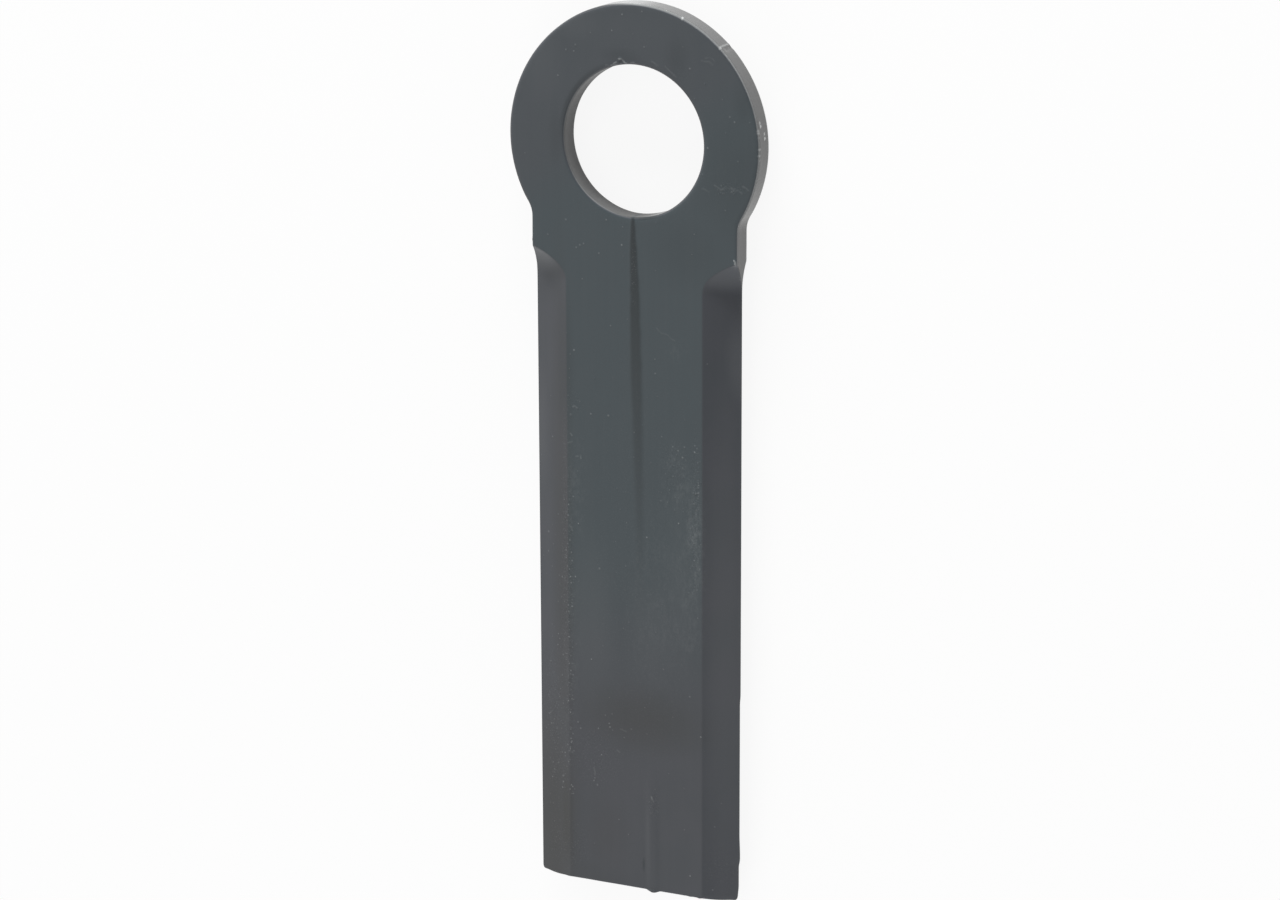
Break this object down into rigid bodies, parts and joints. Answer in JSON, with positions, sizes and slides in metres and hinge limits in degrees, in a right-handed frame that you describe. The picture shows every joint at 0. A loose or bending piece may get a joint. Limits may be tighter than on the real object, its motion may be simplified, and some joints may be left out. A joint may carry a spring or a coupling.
{
  "type": "chopper knife",
  "caption": "Flat steel chopper knife with a round mounting eye at one end and a bevelled cutting edge along each long side.",
  "frame": {"origin": "centre of the eye's bore, halfway through the thickness", "axes": "+Z along the bore's axis, out of the front face; +Y from the tip towards the eye; +X across the blade"},
  "size_m": [0.072, 0.244, 0.0064],
  "materials": {
    "painted_steel": "dark slate grey dip paint, satin"
  },
  "bodies": {
    "root": {"chopper_knife": "painted_steel"}
  },
  "joints": []
}
